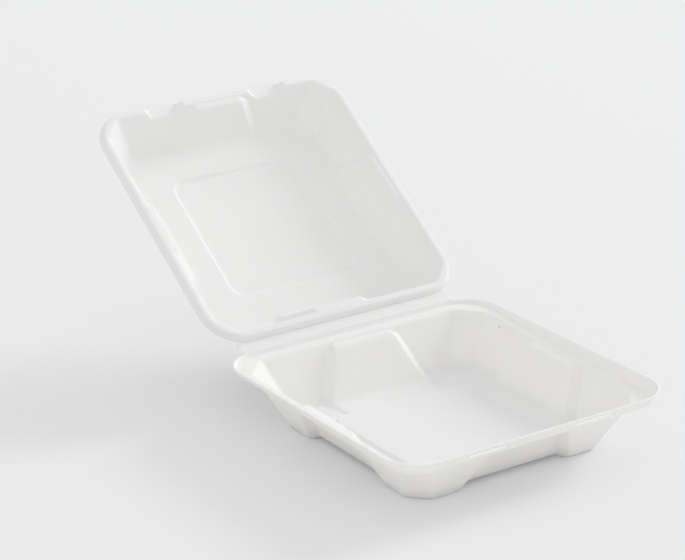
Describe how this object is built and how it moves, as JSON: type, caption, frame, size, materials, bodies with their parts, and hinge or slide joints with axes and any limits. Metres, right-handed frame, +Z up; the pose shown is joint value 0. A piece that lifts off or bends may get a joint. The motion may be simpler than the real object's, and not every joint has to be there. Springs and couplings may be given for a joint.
{
  "type": "clamshell food container",
  "caption": "Square moulded-pulp takeaway box, open: a tray with flared rim, lid ledge, slots and corner feet, and a shallower lid with tabs that folds on a crease at the back.",
  "frame": {"origin": "on the table, under the middle of the open container's outline", "axes": "+X along the crease, +Y from the front lip towards the opened lid, +Z up from the table"},
  "size_m": [0.2302, 0.423, 0.1748],
  "materials": {
    "base_pulp": "matte moulded cane pulp",
    "lid_pulp": "matte moulded cane pulp"
  },
  "bodies": {
    "base": {"base_tray": "base_pulp"},
    "lid": {"lid": "lid_pulp"}
  },
  "joints": [
    {"name": "lid_fold", "type": "hinge", "parent": "base", "child": "lid", "pos_m": [0, 0.02, 0.0451], "axis": [1, 0, 0], "range_deg": [-34.4, 145.75]}
  ]
}
